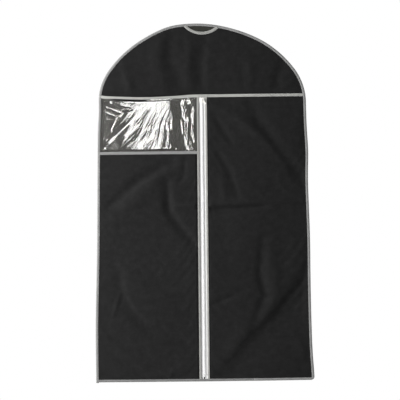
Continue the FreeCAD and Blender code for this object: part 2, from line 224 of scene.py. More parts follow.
FOLD_GAIN = 2.0
YOKE_FOLDS = (
    (((-222, 118), (-208, 160), (-196, 200)), (16, 6), 2.1),
    (((-104, 28), (-122, 100), (-112, 160), (-96, 200)), (18, 22), 1.7),
    (((-84, 30), (-86, 96), (-66, 150), (-60, 196)), (12, 16), -1.5),
    (((14, 44), (0, 110), (4, 196)), (9, 20), -2.0),
    (((-30, 50), (-38, 120), (-30, 198)), (14, 12), 1.4),
    (((28, 60), (84, 54), (142, 62)), (12, 13), -1.6),
    (((108, 118), (122, 190)), (14, 8), -1.0),
    (((136, 100), (134, 196)), (10, 26), 1.1),
    (((236, 108), (212, 150), (204, 198)), (16, 12), -1.7),
)
LEFT_FOLDS = (
    (((-262, 512), (-178, 440), (-84, 384)), (17, 13), -2.1),
    (((-240, 540), (-150, 462), (-110, 420)), (22, 18), 1.1),
    (((-46, 372), (-52, 430), (-66, 446), (-92, 440)), (7, 9), -1.1),
    (((-98, 440), (-94, 520), (-72, 556), (-26, 612)), (9, 14), -2.7),
    (((-74, 508), (-12, 508)), (4, 9), 1.7),
    (((-276, 558), (-196, 548)), (10, 8), 0.8),
    (((-232, 690), (-226, 752), (-196, 802), (-150, 850), (-84, 866), (-24, 908)), (7, 24), -1.9),
    (((-250, 812), (-233, 752)), (4, 5), 1.0),
    (((-200, 700), (-150, 760), (-60, 800)), (30, 34), 1.1),
    (((-96, 996), (-90, 968)), (6, 5), 0.9),
)
RIGHT_FOLDS = (
    (((18, 216), (96, 262), (168, 318), (244, 412)), (15, 13), 1.8),
    (((136, 226), (174, 300), (216, 362), (288, 450)), (17, 18), -2.2),
    (((34, 256), (58, 296), (84, 340)), (9, 10), -1.1),
    (((44, 364), (74, 410), (96, 480)), (9, 11), -1.3),
    (((52, 436), (62, 496)), (14, 12), 1.2),
    (((14, 338), (56, 336)), (5, 6), -0.6),
    (((8, 509), (110, 507), (200, 505), (290, 502)), (13, 4), 1.7),
    (((10, 520), (90, 519), (170, 512)), (7, 9), -2.6),
    (((166, 610), (158, 700), (172, 762), (136, 850)), (14, 12), -2.1),
    (((186, 640), (200, 700), (196, 760)), (16, 26), 1.2),
    (((66, 976), (130, 898), (200, 828), (290, 710)), (21, 56), -3.0),
    (((60, 940), (120, 866), (196, 796), (270, 700)), (26, 10), 1.2),
    (((18, 790), (104, 752)), (7, 6), -1.0),
    (((22, 690), (60, 704)), (12, 10), 1.0),
    (((262, 890), (280, 930)), (14, 14), 1.1),
)


# ---------------------------------------------------------------- materials
PLAIN = (1.0, 1.0, 1.0)
COOL = (1.0, 1.0, 0.985)
WARM = (1.0, 1.0, 0.95)


def grey(value, tint=PLAIN):
    return (value * tint[0], value * tint[1], value * tint[2], 1.0)


class Look:
    """The nodes of one material or world. Its helpers take and return node sockets."""

    def __init__(self, owner):
        self.owner = owner
        owner.use_nodes = True
        self.tree = owner.node_tree

    def fill(self, node, inputs):
        """Sets each input to a value, or wires a socket into it."""
        for key, value in inputs.items():
            if isinstance(value, bpy.types.NodeSocket):
                self.tree.links.new(value, node.inputs[key])
            else:
                node.inputs[key].default_value = value

    def add(self, kind, inputs, **settings):
        node = self.tree.nodes.new("ShaderNode" + kind)
        for key, value in settings.items():
            setattr(node, key, value)
        self.fill(node, inputs)
        return node.outputs

    def pattern(self):
        return self.add("UVMap", {}, uv_map="pattern")["UV"]

    def object_spot(self):
        return self.add("TexCoord", {})["Object"]

    def scaled(self, vector, scale, turn=0.0):
        return self.add("Mapping", {"Scale": scale, "Rotation": (0.0, 0.0, turn), "Vector": vector})["Vector"]

    def noise(self, vector, scale, detail, rough):
        inputs = {"Scale": scale, "Detail": detail, "Roughness": rough, "Vector": vector}
        return self.add("TexNoise", inputs)["Fac"]

    def spread(self, value, low, high):
        """Stretches the middle of a noise over the range from low to high."""
        inputs = {"To Min": low, "To Max": high, "From Min": 0.3, "From Max": 0.7, "Value": value}
        return self.add("MapRange", inputs)["Result"]

    def step(self, value, low, high):
        return self.add("MapRange", {"From Min": low, "From Max": high, "Value": value})["Result"]

    def math(self, operation, first, second):
        return self.add("Math", {0: first, 1: second}, operation=operation)["Value"]

    def mix(self, factor, a, b):
        return self.add("Mix", {"Factor": factor, "A": a, "B": b}, data_type="FLOAT")["Result"]

    def multiply(self, factor, a, b):
        inputs = {"Factor": factor, "A": a, "B": b}
        return self.add("Mix", inputs, data_type="RGBA", blend_type="MULTIPLY")["Result"]

    def ramp(self, value, *stops):
        """Colour ramp. Each stop is a position from 0 to 1 and a colour."""
        node = self.tree.nodes.new("ShaderNodeValToRGB")
        elements = node.color_ramp.elements
        while len(elements) < len(stops):
            elements.new(0.5)
        for element, (position, colour) in zip(elements, stops):
            element.position, element.color = position, colour
        self.fill(node, {"Fac": value})
        return node.outputs["Color"]

    def tones(self, value, tone, tint, *stops):
        """Ramp through shades of one colour. Each stop is a position and a share of the tone."""
        return self.ramp(value, *((at, grey(tone * share, tint)) for at, share in stops))

    def bump(self, height, distance, strength, below=None):
        inputs = {"Distance": distance, "Strength": strength, "Height": height}
        if below is not None:
            inputs["Normal"] = below
        return self.add("Bump", inputs)["Normal"]

    def finish(self, inputs):
        self.fill(self.tree.nodes["Principled BSDF"], inputs)
        return self.owner


def new_look(name):
    return Look(bpy.data.materials.new(name))


def nonwoven(name, tone, tint=PLAIN):
    """Spunbond polypropylene: pressed fibres held by a lattice of welded dimples."""
    look = new_look(name)
    flat = look.pattern()
    slanting = look.scaled(flat, (1.0, 1.35, 1.0), math.radians(45))
    lattice = look.add("TexVoronoi", {"Scale": 640.0, "Randomness": 0.12, "Vector": slanting})
    dimple = look.step(lattice["Distance"], 0.10, 0.42)
    fibre = look.noise(look.scaled(flat, (1.0, 0.35, 1.0), 0.4), 2600.0, 4.0, 0.7)
    cloudy = look.noise(flat, 60.0, 6.0, 0.68)
    speck = look.noise(flat, 620.0, 3.0, 0.6)
    shades = ((0.34, 0.72), (0.50, 1.0), (0.66, 1.42))
    colour = look.tones(look.mix(0.42, cloudy, speck), tone, tint, *shades)
    low = look.bump(cloudy, 0.0009, 0.5)
    mid = look.bump(fibre, 0.00006, 0.8, low)
    return look.finish({
        "Base Color": look.multiply(0.35, colour, dimple),
        "Roughness": look.spread(speck, 0.62, 0.86),
        "Normal": look.bump(dimple, 0.00012, 0.9, mid),
        "Specular IOR Level": 0.08,
        "Sheen Weight": 0.01,
        "Sheen Roughness": 0.5,
    })


def woven_tape(name, tone, tint, rib=0.85 * MM):
    """Ribbed binding tape. The pattern map holds metres along the tape and across it."""
    look = new_look(name)
    flat = look.pattern()
    rib_inputs = {"Scale": 0.5 / rib, "Distortion": 1.2, "Detail": 1.0, "Detail Scale": 2.0, "Vector": flat}
    ribs = look.add("TexWave", rib_inputs, bands_direction="X")
    thread_inputs = {"Scale": 700.0, "Distortion": 0.6, "Vector": flat}
    threads = look.add("TexWave", thread_inputs, bands_direction="Y")
    cloudy = look.noise(look.scaled(flat, (1.0, 3.0, 1.0)), 45.0, 4.0, 0.6)
    fuzz = look.noise(flat, 2400.0, 3.0, 0.7)
    shades = ((0.30, 0.80), (0.50, 1.0), (0.70, 1.22))
    colour = look.tones(look.mix(0.35, cloudy, fuzz), tone, tint, *shades)
    low = look.bump(threads["Fac"], 0.00005, 0.6)
    mid = look.bump(ribs["Fac"], 0.00014, 0.8, low)
    return look.finish({
        "Base Color": look.multiply(0.30, colour, ribs["Color"]),
        "Roughness": look.spread(fuzz, 0.62, 0.88),
        "Normal": look.bump(fuzz, 0.00005, 0.7, mid),
        "Specular IOR Level": 0.25,
        "Sheen Weight": 0.06,
    })


def herringbone_tape(name, tone):
    """Woven polyester zip tape: a herringbone twill about 0.6 mm a thread."""
    look = new_look(name)
    flat = look.pattern()
    split = look.add("SeparateXYZ", {"Vector": flat})
    zigzag = look.math("PINGPONG", look.math("MULTIPLY", split["Y"], 420.0), 1.0)
    run = look.math("ADD", split["X"], look.math("MULTIPLY", zigzag, 0.0024))
    joined = look.add("CombineXYZ", {"X": run})["Vector"]
    thread_inputs = {"Scale": 820.0, "Distortion": 0.0, "Vector": joined}
    threads = look.add("TexWave", thread_inputs, bands_direction="X")["Fac"]
    fuzz = look.noise(flat, 1900.0, 3.0, 0.7)
    low = look.bump(threads, 0.00009, 0.8)
    shades = ((0.10, grey(tone * 0.80)), (0.45, grey(tone * 0.96)), (0.90, grey(tone, COOL)))
    return look.finish({
        "Base Color": look.ramp(threads, *shades),
        "Roughness": look.spread(fuzz, 0.58, 0.80),
        "Normal": look.bump(fuzz, 0.00004, 0.6, low),
        "Specular IOR Level": 0.3,
    })


def plastic_wire(name, tone, tint=PLAIN, roughness=(0.28, 0.46)):
    """Drawn nylon or spun thread, with fine drawing marks."""
    look = new_look(name)
    spot = look.object_spot()
    cloudy = look.noise(spot, 160.0, 3.0, 0.6)
    fine = look.noise(spot, 4200.0, 2.0, 0.6)
    brightest = min(1.07, 0.93 / tone)
    return look.finish({
        "Base Color": look.tones(cloudy, tone, tint, (0.30, 0.88), (0.60, 1.0), (0.80, brightest)),
        "Roughness": look.spread(fine, *roughness),
        "Normal": look.bump(fine, 0.00003, 0.7),
        "Specular IOR Level": 0.4,
    })


def enamel(name, tone, tint):
    """Stoved enamel over cast zinc: orange-peel gloss, rubbed through to metal in small chips."""
    look = new_look(name)
    spot = look.object_spot()
    peel = look.noise(spot, 1300.0, 2.0, 0.5)
    chipped = look.step(look.noise(spot, 620.0, 5.0, 0.75), 0.665, 0.69)
    cloudy = look.noise(spot, 210.0, 3.0, 0.6)
    paint = look.tones(cloudy, tone, tint, (0.30, 0.90), (0.55, 1.0), (0.80, 1.05))
    zinc = (0.36, 0.36, 0.37, 1.0)
    worn = look.add("Mix", {"B": zinc, "Factor": chipped, "A": paint}, data_type="RGBA")
    low = look.bump(peel, 0.00004, 0.35)
    return look.finish({
        "Base Color": worn["Result"],
        "Metallic": chipped,
        "Roughness": look.spread(cloudy, 0.24, 0.38),
        "Normal": look.bump(chipped, -0.00005, 0.5, low),
        "Coat Weight": 0.25,
        "Coat Roughness": 0.12,
    })


def clear_film(name):
    """Clear PVC: glassy, faintly yellow-grey, with fine scuffs and a soft haze."""
    look = new_look(name)
    spot = look.object_spot()
    haze = look.noise(spot, 40.0, 5.0, 0.62)
    ripple = look.noise(spot, 120.0, 2.0, 0.5)
    scuff = look.noise(look.scaled(spot, (1.0, 1.0, 0.2)), 900.0, 3.0, 0.7)
    low = look.bump(ripple, 0.00004, 0.5)
    return look.finish({
        "Base Color": look.ramp(haze, (0.30, (0.86, 0.84, 0.79, 1.0)), (0.70, (0.93, 0.92, 0.88, 1.0))),
        "Roughness": look.spread(haze, 0.05, 0.125),
        "Normal": look.bump(scuff, 0.00001, 0.5, low),
        "Transmission Weight": 0.97,
        "IOR": 1.5,
    })


def studio_floor(name):
    look = new_look(name)
    spot = look.object_spot()
    cloudy = look.noise(spot, 2.5, 3.0, 0.5)
    grain = look.noise(spot, 420.0, 3.0, 0.6)
    return look.finish({
        "Base Color": look.ramp(cloudy, (0.30, grey(0.88)), (0.70, grey(0.91))),
        "Normal": look.bump(grain, 0.0004, 0.15),
        "Roughness": 0.75,
        "Specular IOR Level": 0.2,
    })


FABRIC = nonwoven("black_nonwoven", 0.0122)
# The yoke's cloth is a darker copy of the black nonwoven: painted shade.
YOKE_FABRIC_PAINTED_SHADE = nonwoven("black_nonwoven_yoke_painted_shade", 0.0106)
# The right front panel's cloth is a darker copy of the black nonwoven: painted shade.
RIGHT_FABRIC_PAINTED_SHADE = nonwoven("black_nonwoven_right", 0.0111)
# The back panel's inside is a lighter, olive-tinted copy of the black nonwoven: its lighter tone is painted
# light.
FABRIC_INSIDE_PAINTED_LIGHT = nonwoven("black_nonwoven_inside_painted_light", 0.0290, (1.02, 1.04, 0.88))
EDGE_CLOTH = woven_tape("edge_binding_cloth", 0.250, COOL)
HEM_CLOTH = woven_tape("hem_binding_cloth", 0.200, COOL)
SEAM_CLOTH = woven_tape("seam_binding_cloth", 0.40, WARM)
NECK_CLOTH = woven_tape("neck_binding_cloth", 0.32, WARM)
FILM = clear_film("clear_pvc_film")
ZIP_CLOTH = herringbone_tape("zip_tape_cloth", 0.78)
NYLON = plastic_wire("white_nylon", 0.80)
SPUN = (0.55, 0.75)
EDGE_THREAD = plastic_wire("grey_thread", 0.27, PLAIN, SPUN)
SEAM_THREAD = plastic_wire("pale_thread", 0.46, WARM, SPUN)
ZIP_THREAD = plastic_wire("white_thread", 0.82, PLAIN, SPUN)
IVORY = enamel("ivory_enamel", 0.80, (1.0, 0.985, 0.93))
STOP_PAINT = enamel("white_painted_stop", 0.80, COOL)
FLOOR = studio_floor("pale_floor")


# ---------------------------------------------------------------- shells: rows of closed rings
def finish_mesh(name, verts, faces, materials, slots=None, uv=None, normals=None):
    mesh = bpy.data.meshes.new(name)
    mesh.from_pydata(verts.tolist(), [], faces)
    for item in materials:
        mesh.materials.append(item)
    if slots is not None:
        mesh.polygons.foreach_set("material_index", slots.astype(np.int32))
    mesh.polygons.foreach_set("use_smooth", np.ones(len(faces), bool))
    if uv is not None:
        corners = np.empty(len(mesh.loops), np.int32)
        mesh.loops.foreach_get("vertex_index", corners)
        layer = mesh.uv_layers.new(name="pattern")
        layer.data.foreach_set("uv", uv[corners].astype(np.float32).ravel())
    if normals is not None:
        mesh.normals_split_custom_set_from_vertices(normals.tolist())
    mesh.update()
    obj = bpy.data.objects.new(name, mesh)
    bpy.context.scene.collection.objects.link(obj)
    return obj


def on_bag(obj, slot_name, *nodes):
    """A piece that stays with the bag's body, and the CAD nodes it stands for. slot_name is not used."""
    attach(obj, "bag")
    for node in nodes:
        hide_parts(node)


def pattern_map(along, around):
    """Pattern coordinates of rings: one distance along for each row, one around for each point."""
    return np.stack(np.broadcast_arrays(along[:, None], around[None, :]), axis=-1)


def ring_faces(rings):
    """Walls and end caps of a skin over rings, facing outwards, and whether they had to be turned."""
    rows, count = rings.shape[:2]
    row = np.arange(rows - 1)[:, None] * count
    here, after = np.arange(count)[None, :], (np.arange(count)[None, :] + 1) % count
    walls = np.stack([row + here, row + after, row + count + after, row + count + here], axis=-1)
    half = np.arange(count // 2 - 1)
    near = np.stack([half, count - 1 - half, count - 2 - half, half + 1], axis=-1)
    far = (near + (rows - 1) * count)[:, ::-1]
    faces = np.concatenate([walls.reshape(-1, 4), near, far])
    a, b, c, d = (rings.reshape(-1, 3)[faces[:, k]] for k in range(4))
    volume = np.einsum("ij,ij->i", a, np.cross(b, c)) + np.einsum("ij,ij->i", a, np.cross(c, d))
    return (faces[:, ::-1], True) if volume.sum() < 0 else (faces, False)


def ring_normals(rings):
    across = np.roll(rings, -1, axis=1) - np.roll(rings, 1, axis=1)
    along = np.gradient(rings, axis=0)
    found = np.cross(across, along)
    return found / np.maximum(np.linalg.norm(found, axis=-1, keepdims=True), 1e-12)


def shell(name, rings, uv, materials, slots=None, rows=None, shared=None):
    """A closed skin over rows of rings. rows cuts out part of it, shaded with the whole's normals."""
    first, last = rows or (0, len(rings) - 1)
    part, part_uv = rings[first:last + 1], uv[first:last + 1]
    faces, turned = ring_faces(part)
    normals = None
    if rows is not None:
        normals = shared[first:last + 1].reshape(-1, 3) * (-1.0 if turned else 1.0)
    face_slots = None
    if slots is not None:
        caps = len(faces) - rings.shape[1] * (len(part) - 1)
        face_slots = np.concatenate([np.tile(slots, len(part) - 1), np.zeros(caps, int)])
    return finish_mesh(
        name, part.reshape(-1, 3), faces.tolist(), materials, face_slots, part_uv.reshape(-1, 2), normals
    )


def sheet_rings(middle, thickness):
    """Rings round a sheet given by its middle surface, one ring for each row."""
    half = np.array([0.0, thickness / 2, 0.0])
    return np.concatenate([middle - half, (middle + half)[:, ::-1]], axis=1)


def sheet_uv(x, z):
    flat = np.stack([x, z], axis=-1)
    return np.concatenate([flat, flat[:, ::-1]], axis=1)


def join_shells(name, shells, materials):
    """Several closed skins in one object. Each entry holds rings and their pattern map."""
    verts = [rings.reshape(-1, 3) for rings, _ in shells]
    maps = [uv.reshape(-1, 2) for _, uv in shells]
    faces, offset = [], 0
    for (rings, _), points in zip(shells, verts):
        faces += (ring_faces(rings)[0] + offset).tolist()
        offset += len(points)
    return finish_mesh(name, np.concatenate(verts), faces, materials, None, np.concatenate(maps))


# ---------------------------------------------------------------- paths
def line_path(a, b, step):
    a, b = np.array(a, float), np.array(b, float)
    count = max(2, int(math.ceil(np.hypot(*(b - a)) / step)) + 1)
    points = a + (b - a) * np.linspace(0.0, 1.0, count)[:, None]
    heading = np.repeat(((b - a) / np.hypot(*(b - a)))[None, :], count, axis=0)
    return points, heading


def arc_path(centre, radius, start, end, step):
    count = max(3, int(math.ceil(abs(end - start) * radius / step)) + 1)
    angle = np.linspace(start, end, count)
    points = np.array(centre) + radius * np.stack([np.cos(angle), np.sin(angle)], axis=-1)
    way = 1.0 if end > start else -1.0
    return points, way * np.stack([-np.sin(angle), np.cos(angle)], axis=-1)


def run_length(points):
    """Distance run at each point of a path."""
    return np.concatenate([[0.0], np.cumsum(np.hypot(*(points[1:] - points[:-1]).T))])


def chain(parts):
    """Joins runs that meet end to end, and gives points, headings and running length."""
    points = np.concatenate([parts[0][0]] + [p[1:] for p, _ in parts[1:]])
    heading = np.concatenate([parts[0][1]] + [h[1:] for _, h in parts[1:]])
    return points, heading, run_length(points)


def level_path(start_x, end_x, depth, step=3 * MM):
    return chain([line_path((start_x, -depth), (end_x, -depth), step)])


def sideways(heading, flip):
    """The direction to the right of a heading, or to the left."""
    return np.stack([heading[:, 1], -heading[:, 0]], axis=-1) * (-1.0 if flip else 1.0)


def outline_runs(inset, step=4 * MM, corner=CORNER_R, overhang=0.0):
    """Left side up, over the crown and down the right side, then round its corner."""
    crown, shoulder = CROWN_R - inset, SHOULDER_R - inset
    hem_x, hem_z = hem_corner(inset)
    start = math.pi / 2 - CROWN_ANGLE
    left_touch = (-SHOULDER_X - shoulder * math.cos(FLARE), SHOULDER_Z + shoulder * math.sin(FLARE))
    right_touch = (-left_touch[0], left_touch[1])
    low = (-hem_x - overhang * math.tan(FLARE), hem_z - overhang)
    runs = [
        line_path(low, left_touch, step),
        arc_path((-SHOULDER_X, SHOULDER_Z), shoulder, math.pi - FLARE, math.pi - start, step),
        arc_path((0.0, -CROWN_R), crown, math.pi - start, start, step),
        arc_path((SHOULDER_X, SHOULDER_Z), shoulder, start, FLARE, step),
    ]
    radius = corner - inset
    if radius <= 0:
        return runs + [line_path(right_touch, (hem_x, hem_z), step)]
    centre = hem_corner(inset + radius)
    side_end = (centre[0] + radius * math.cos(FLARE), centre[1] + radius * math.sin(FLARE))
    return runs + [
        line_path(right_touch, side_end, step),
        arc_path(centre, radius, FLARE, -math.pi / 2, 0.7 * MM),
    ]


def at_length(path, lengths):
    points, heading, run = path
    found = [np.interp(lengths, run, column) for column in (*points.T, *heading.T)]
    return np.stack(found[:2], axis=-1), np.stack(found[2:], axis=-1)


# ---------------------------------------------------------------- tape sections: inward distance and lift
STITCH_IN = 1.7 * MM
THREAD_FRONT = LEG_FRONT + 0.02 * MM
THREAD_BACK = SEAM_BACK + 0.02 * MM
TAPE_CLOTH = 0.5 * MM
THIN_TAPE = 0.45 * MM
BACK_FACE, BACK_CLOTH = 0.35 * MM, 0.4 * MM
MIRROR = np.array([1.0, -1.0])


def leg_profile(width, face, puff):
    """Lift of a tape's outer face at distances in from its fold, with a groove under the stitches."""
    inward = np.array([0.12, 0.30, 0.5, 0.68, 0.82, 0.92, 1.0]) * width
    groove = bell(inward, width - STITCH_IN, 0.9 * MM)
    dome = np.sin(math.pi * (inward / width) ** 1.25)
    return inward, face + puff * dome - 0.32 * MM * groove


def section_loop(outer_u, outer_v, inner_u, inner_v):
    """Closed section from its outer and inner faces, both given in the same order."""
    return np.stack([np.append(outer_u, inner_u[::-1]), np.append(outer_v, inner_v[::-1])], axis=-1)


def fold_section(width, front, back, thick):
    """A tape folded over an edge. front and back are how far its faces stand from the edge's middle."""
    inward, lift = leg_profile(width, front, 0.55 * MM)
    _, back_lift = leg_profile(width, back, 0.15 * MM)
    turn = np.linspace(math.pi / 2, -math.pi / 2, 7)
    middle, radius = (back - front) / 2, (front + back) / 2
    bend = 0.8 * min(radius, 1.1 * MM)
    fold_u, fold_v = bend * (1 - np.cos(turn)), middle - radius * np.sin(turn)
    outer_u = np.concatenate([inward[::-1], fold_u, inward])
    outer_v = np.concatenate([-lift[::-1], fold_v, back_lift])
    inner_u = np.concatenate([inward[::-1], np.maximum(fold_u, thick), inward])
    inner_v = np.concatenate([
        np.full(len(inward), -(front - thick)),
        middle - (radius - thick) * np.sin(turn),
        np.full(len(inward), back - thick),
    ])
    for u in (outer_u, inner_u):
        u[[0, -1]] -= 0.12 * MM
    outer_v[[0, -1]] += np.array([0.18, -0.18]) * MM
    return section_loop(outer_u, outer_v, inner_u, inner_v)


def flat_section(low, high, front, thick, puff=0.2 * MM):
    """A flat tape between two distances, with a groove near each edge and rolled edges."""
    share = np.array([0.0, 0.05, 0.14, 0.24, 0.38, 0.5, 0.62, 0.76, 0.86, 0.95, 1.0])
    inward = low + share * (high - low)
    grooves = bell(inward, low + 1.6 * MM, 0.8 * MM) + bell(inward, high - 1.6 * MM, 0.8 * MM)
    lift = front + puff * np.sin(math.pi * share) - 0.28 * MM * grooves
    lift[[0, -1]] -= 0.22 * MM
    return section_loop(inward, -lift, inward, np.full(len(inward), -(front - thick)))


def back_section(width):
    """The plain inner layer of a tape that is laid over a seam from both sides."""
    return flat_section(0.0, width, BACK_FACE, BACK_CLOTH) * MIRROR


def sweep(path, section, flip=False, extra=None, width_at=None):
    """Carries a section along a path. Distances go to the right of the heading, or to the left."""
    points, heading, run = path
    scale = width_at(points[:, 0])[:, None] if width_at else 1.0
    side = sideways(heading, flip)
    x = points[:, 0, None] + side[:, 0, None] * section[None, :, 0] * scale
    z = points[:, 1, None] + side[:, 1, None] * section[None, :, 0] * scale
    lift = np.broadcast_to(section[None, :, 1], x.shape)
    if extra is not None:
        lift = lift + extra(x, z, lift)
    return place(x, z, lift), pattern_map(run, run_length(section))


# ---------------------------------------------------------------- stitches
def capsule():
    """A short thread: two six-sided rings and two tips, along X with its back down along -Z."""
    angle = np.arange(6) * math.pi / 3
    ring = np.stack([np.zeros(6), np.cos(angle), np.sin(angle)], axis=-1)
    verts = np.concatenate([
        [[-0.5, 0.0, -0.9]], ring + [-0.34, 0.0, 0.0], ring + [0.34, 0.0, 0.0], [[0.5, 0.0, -0.9]],
    ])
    faces = []
    for k in range(6):
        after = (k + 1) % 6
        faces += [(0, 1 + after, 1 + k), (1 + k, 1 + after, 7 + after, 7 + k), (7 + k, 7 + after, 13)]
    return verts, faces


STITCH_VERTS, STITCH_FACES = capsule()


def unit(vectors):
    return vectors / np.linalg.norm(vectors, axis=-1, keepdims=True)


def stitches(centres, ahead, out, length=2.5 * MM, radius=0.23 * MM):
    """Vertices of one stitch at each centre, lying along ahead with its crest towards out."""
    ahead = unit(ahead)
    side = unit(np.cross(out, ahead))
    axes = (ahead, side, np.cross(ahead, side))
    size = STITCH_VERTS * np.array([length, radius, radius])
    verts = centres[:, None, :] + sum(
        size[None, :, k, None] * axis[:, None, :] for k, axis in enumerate(axes)
    )
    return verts.reshape(-1, 3)


def stitch_object(name, rows, material):
    """One object of many stitches. rows are the vertices of rows of stitches."""
    verts = np.concatenate(rows)
    bases = range(0, len(verts), len(STITCH_VERTS))
    faces = [[base + i for i in face] for base in bases for face in STITCH_FACES]
    return finish_mesh(name, verts, faces, [material])


STITCH_PITCH = 3.2 * MM


def row_on_path(path, inward, lift, flip=False, extra=None, start=1.5 * MM, end=1.5 * MM):
    """A row of stitches along a path, at a distance in from it."""
    lengths = np.arange(start, path[2][-1] - end, STITCH_PITCH)
    spots = []
    for shift in (-0.4 * MM, 0.0, 0.4 * MM):
        points, heading = at_length(path, lengths + shift)
        x, z = (points + sideways(heading, flip) * inward).T
        spots.append(place(x, z, lift + (extra(x, z, lift) if extra else 0.0)))
    out = np.zeros_like(spots[1])
    out[:, 1] = math.copysign(1.0, lift)
    return stitches(spots[1], spots[2] - spots[0], out)


# ---------------------------------------------------------------- the flaps' zones
HINGE_X = 0.2928
HINGE_LEAN = 0.01547
ZONE_TOP, ZONE_LOW = 0.558, 0.648
ZONE_CLOSED = 0.955


def flap_blend(obj, side, zone):
    """Works out how far the flap would turn (fully along its free edge in the middle, not at all at its sewn
    ends), but only bakes the piece's placement into its mesh.
    """
    gx, gz = -side / HINGE_X, -HINGE_LEAN / HINGE_X
    level = (HINGE_X - HINGE_LEAN) / HINGE_X
    if zone == "top":
        reach = ZONE_TOP - FLAP_TOP
        gz -= 1.0 / reach
        level -= ZONE_TOP / reach
    if zone == "low":
        reach = ZONE_CLOSED - ZONE_LOW
        gz += 1.0 / reach
        level += ZONE_LOW / reach
    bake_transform(obj)


ZONES = (("top", 0.0, ZONE_TOP), ("middle", ZONE_TOP, ZONE_LOW), ("low", ZONE_LOW, HEIGHT))


def zone_rows(depths):
    """Row ranges of the three zones along rows with rising depths."""
    found = []
    for zone, low, high in ZONES:
        inside = np.nonzero((depths >= low - 1e-6) & (depths <= high + 1e-6))[0]
        if len(inside) > 1:
            found.append((zone, inside[0], inside[-1]))
    return found


def depth_rows(top, bottom, step):
    """Depths from top to bottom that include the zone borders."""
    stops = [top] + [s for s in (ZONE_TOP, ZONE_LOW) if top < s < bottom] + [bottom]
    runs = [np.linspace(a, b, max(2, int(math.ceil((b - a) / step)) + 1)) for a, b in zip(stops, stops[1:])]
    return np.concatenate([runs[0]] + [r[1:] for r in runs[1:]])


def flap_shell(name, rings, uv, depths, side, slot_name, node, materials, slots=None):
    """Three pieces, cut at the zone borders, that together are one sewn piece of a flap."""
    normals = ring_normals(rings)
    made = []
    for zone, first, last in zone_rows(depths):
        obj = shell(f"{name}_{zone}", rings, uv, materials, slots, (first, last), normals)
        flap_blend(obj, side, zone)
        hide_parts(node)
        made.append(obj)
    return made


# ---------------------------------------------------------------- cloth settling
SLACK = 0.0006


CLOTH_SETTINGS = {
    "quality": 7,
    "mass": 0.12,
    "tension_stiffness": 30.0,
    "compression_stiffness": 30.0,
    "shear_stiffness": 12.0,
    "bending_stiffness": 1.2,
    "tension_damping": 12.0,
    "bending_damping": 1.0,
    "air_damping": 3.0,
    "vertex_group_mass": "held",
    "shrink_min": -SLACK,
}


def settle(middle, pins, free, limit, outward, frames=22):
    """The shift by which a pinned sheet with a little slack wrinkles under its weight.

    It is capped, fades out where free falls to nothing, and hardly goes inwards: outward is the
    sign of the outward direction along Y.
    """
    rows, count = middle.shape[:2]
    index = np.arange(rows * count).reshape(rows, count)
    faces = np.stack([index[:-1, :-1], index[:-1, 1:], index[1:, 1:], index[1:, :-1]], axis=-1).reshape(-1, 4)
    mesh = bpy.data.meshes.new("settling")
    mesh.from_pydata(middle.reshape(-1, 3).tolist(), [], faces.tolist())
    mesh.update()
    obj = bpy.data.objects.new("settling", mesh)
    scene = bpy.context.scene
    scene.collection.objects.link(obj)
    held = obj.vertex_groups.new(name="held")
    held.add([int(i) for i in index[pins]], 1.0, "REPLACE")
    cloth = obj.modifiers.new("Cloth", "CLOTH")
    for key, value in CLOTH_SETTINGS.items():
        setattr(cloth.settings, key, value)
    cloth.collision_settings.use_collision = False
    cloth.point_cache.frame_start = 1
    cloth.point_cache.frame_end = frames
    for number in range(1, frames + 1):
        scene.frame_set(number)
    shape = obj.evaluated_get(bpy.context.evaluated_depsgraph_get()).data
    moved = np.empty(rows * count * 3)
    shape.vertices.foreach_get("co", moved)
    scene.frame_set(1)
    bpy.data.objects.remove(obj)
    bpy.data.meshes.remove(mesh)
    shift = moved.reshape(rows, count, 3) - middle
    size = np.linalg.norm(shift, axis=-1, keepdims=True)
    shift = shift * np.minimum(1.0, limit / np.maximum(size, 1e-9)) * free[..., None]
    shift[..., 1] = outward * np.maximum(outward * shift[..., 1], -0.3 * MM)
    return shift


def edge_pins(rows, count):
    pins = np.zeros((rows, count), bool)
    pins[[0, -1], :] = True
    pins[:, [0, -1]] = True
    return pins


# ---------------------------------------------------------------- back panel and yoke
def resample(points, count):
    run = run_length(points)
    where = np.linspace(0.0, run[-1], count)
    return np.stack([np.interp(where, run, column) for column in points.T], axis=-1)


def coons(bottom, right, top, left):
    """A grid between four edges. Rows run left to right and go from bottom to top."""
    rows, count = len(left), len(bottom)
    s = np.linspace(0.0, 1.0, count)[None, :, None]
    t = np.linspace(0.0, 1.0, rows)[:, None, None]
    ruled = (1 - t) * bottom[None] + t * top[None] + (1 - s) * left[:, None] + s * right[:, None]
    corners = (
        (1 - s) * (1 - t) * bottom[0] + s * (1 - t) * bottom[-1] + (1 - s) * t * top[0] + s * t * top[-1]
    )
    return ruled - corners


def half_outline(inset):
    """The left half of the outline from the hem up to the middle of the crown."""
    runs = outline_runs(inset, 1 * MM, 0.0)
    points, _, _ = chain(runs[:3])
    middle = np.argmin(np.abs(points[:, 0]) + (points[:, 1] < -0.5))
    points = points[:middle + 1]
    points[-1, 0] = 0.0
    return points


def flip_x(points):
    return points * np.array([-1.0, 1.0])


def nearest(points, x, z):
    return np.argmin(np.hypot(points[:, 0] - x, points[:, 1] - z))


def from_ends(count):
    """Steps from each of a row's points to the nearer end of the row."""
    return np.minimum(np.arange(count), np.arange(count)[::-1])


